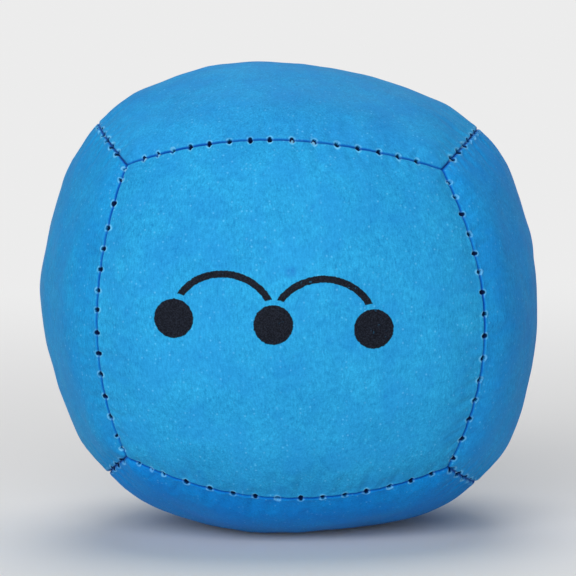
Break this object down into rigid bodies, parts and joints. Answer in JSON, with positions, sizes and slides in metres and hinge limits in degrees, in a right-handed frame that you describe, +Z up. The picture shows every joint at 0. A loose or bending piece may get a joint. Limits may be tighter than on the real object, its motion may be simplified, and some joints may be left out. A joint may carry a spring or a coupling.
{
  "type": "juggling ball",
  "caption": "Soft beanbag juggling ball of blue synthetic leather panels, sewn inside out along curved seams and filled with millet, with a settled flat foot.",
  "frame": {"origin": "centre of the ball's box, halfway between the flat foot and the crown of the top panel", "axes": "+Z up from the flat foot through the top panel, -Y out of the front panel, +X out of the right panel"},
  "size_m": [0.066, 0.066, 0.0634],
  "materials": {
    "panel_leather": "matte",
    "seam_thread": "matte",
    "millet": "matte"
  },
  "bodies": {
    "root": {"panel_front": "panel_leather", "panel_back": "panel_leather", "panel_left": "panel_leather", "panel_right": "panel_leather", "panel_top": "panel_leather", "panel_bottom": "panel_leather", "thread_front_left": "seam_thread", "thread_front_right": "seam_thread", "thread_back_left": "seam_thread", "thread_back_right": "seam_thread", "thread_front_top": "seam_thread", "thread_back_top": "seam_thread", "thread_left_top": "seam_thread", "thread_right_top": "seam_thread", "thread_front_bottom": "seam_thread", "thread_back_bottom": "seam_thread", "thread_right_bottom": "seam_thread", "closing_thread": "seam_thread", "closing_knot": "seam_thread", "millet_fill": "millet"}
  },
  "joints": []
}
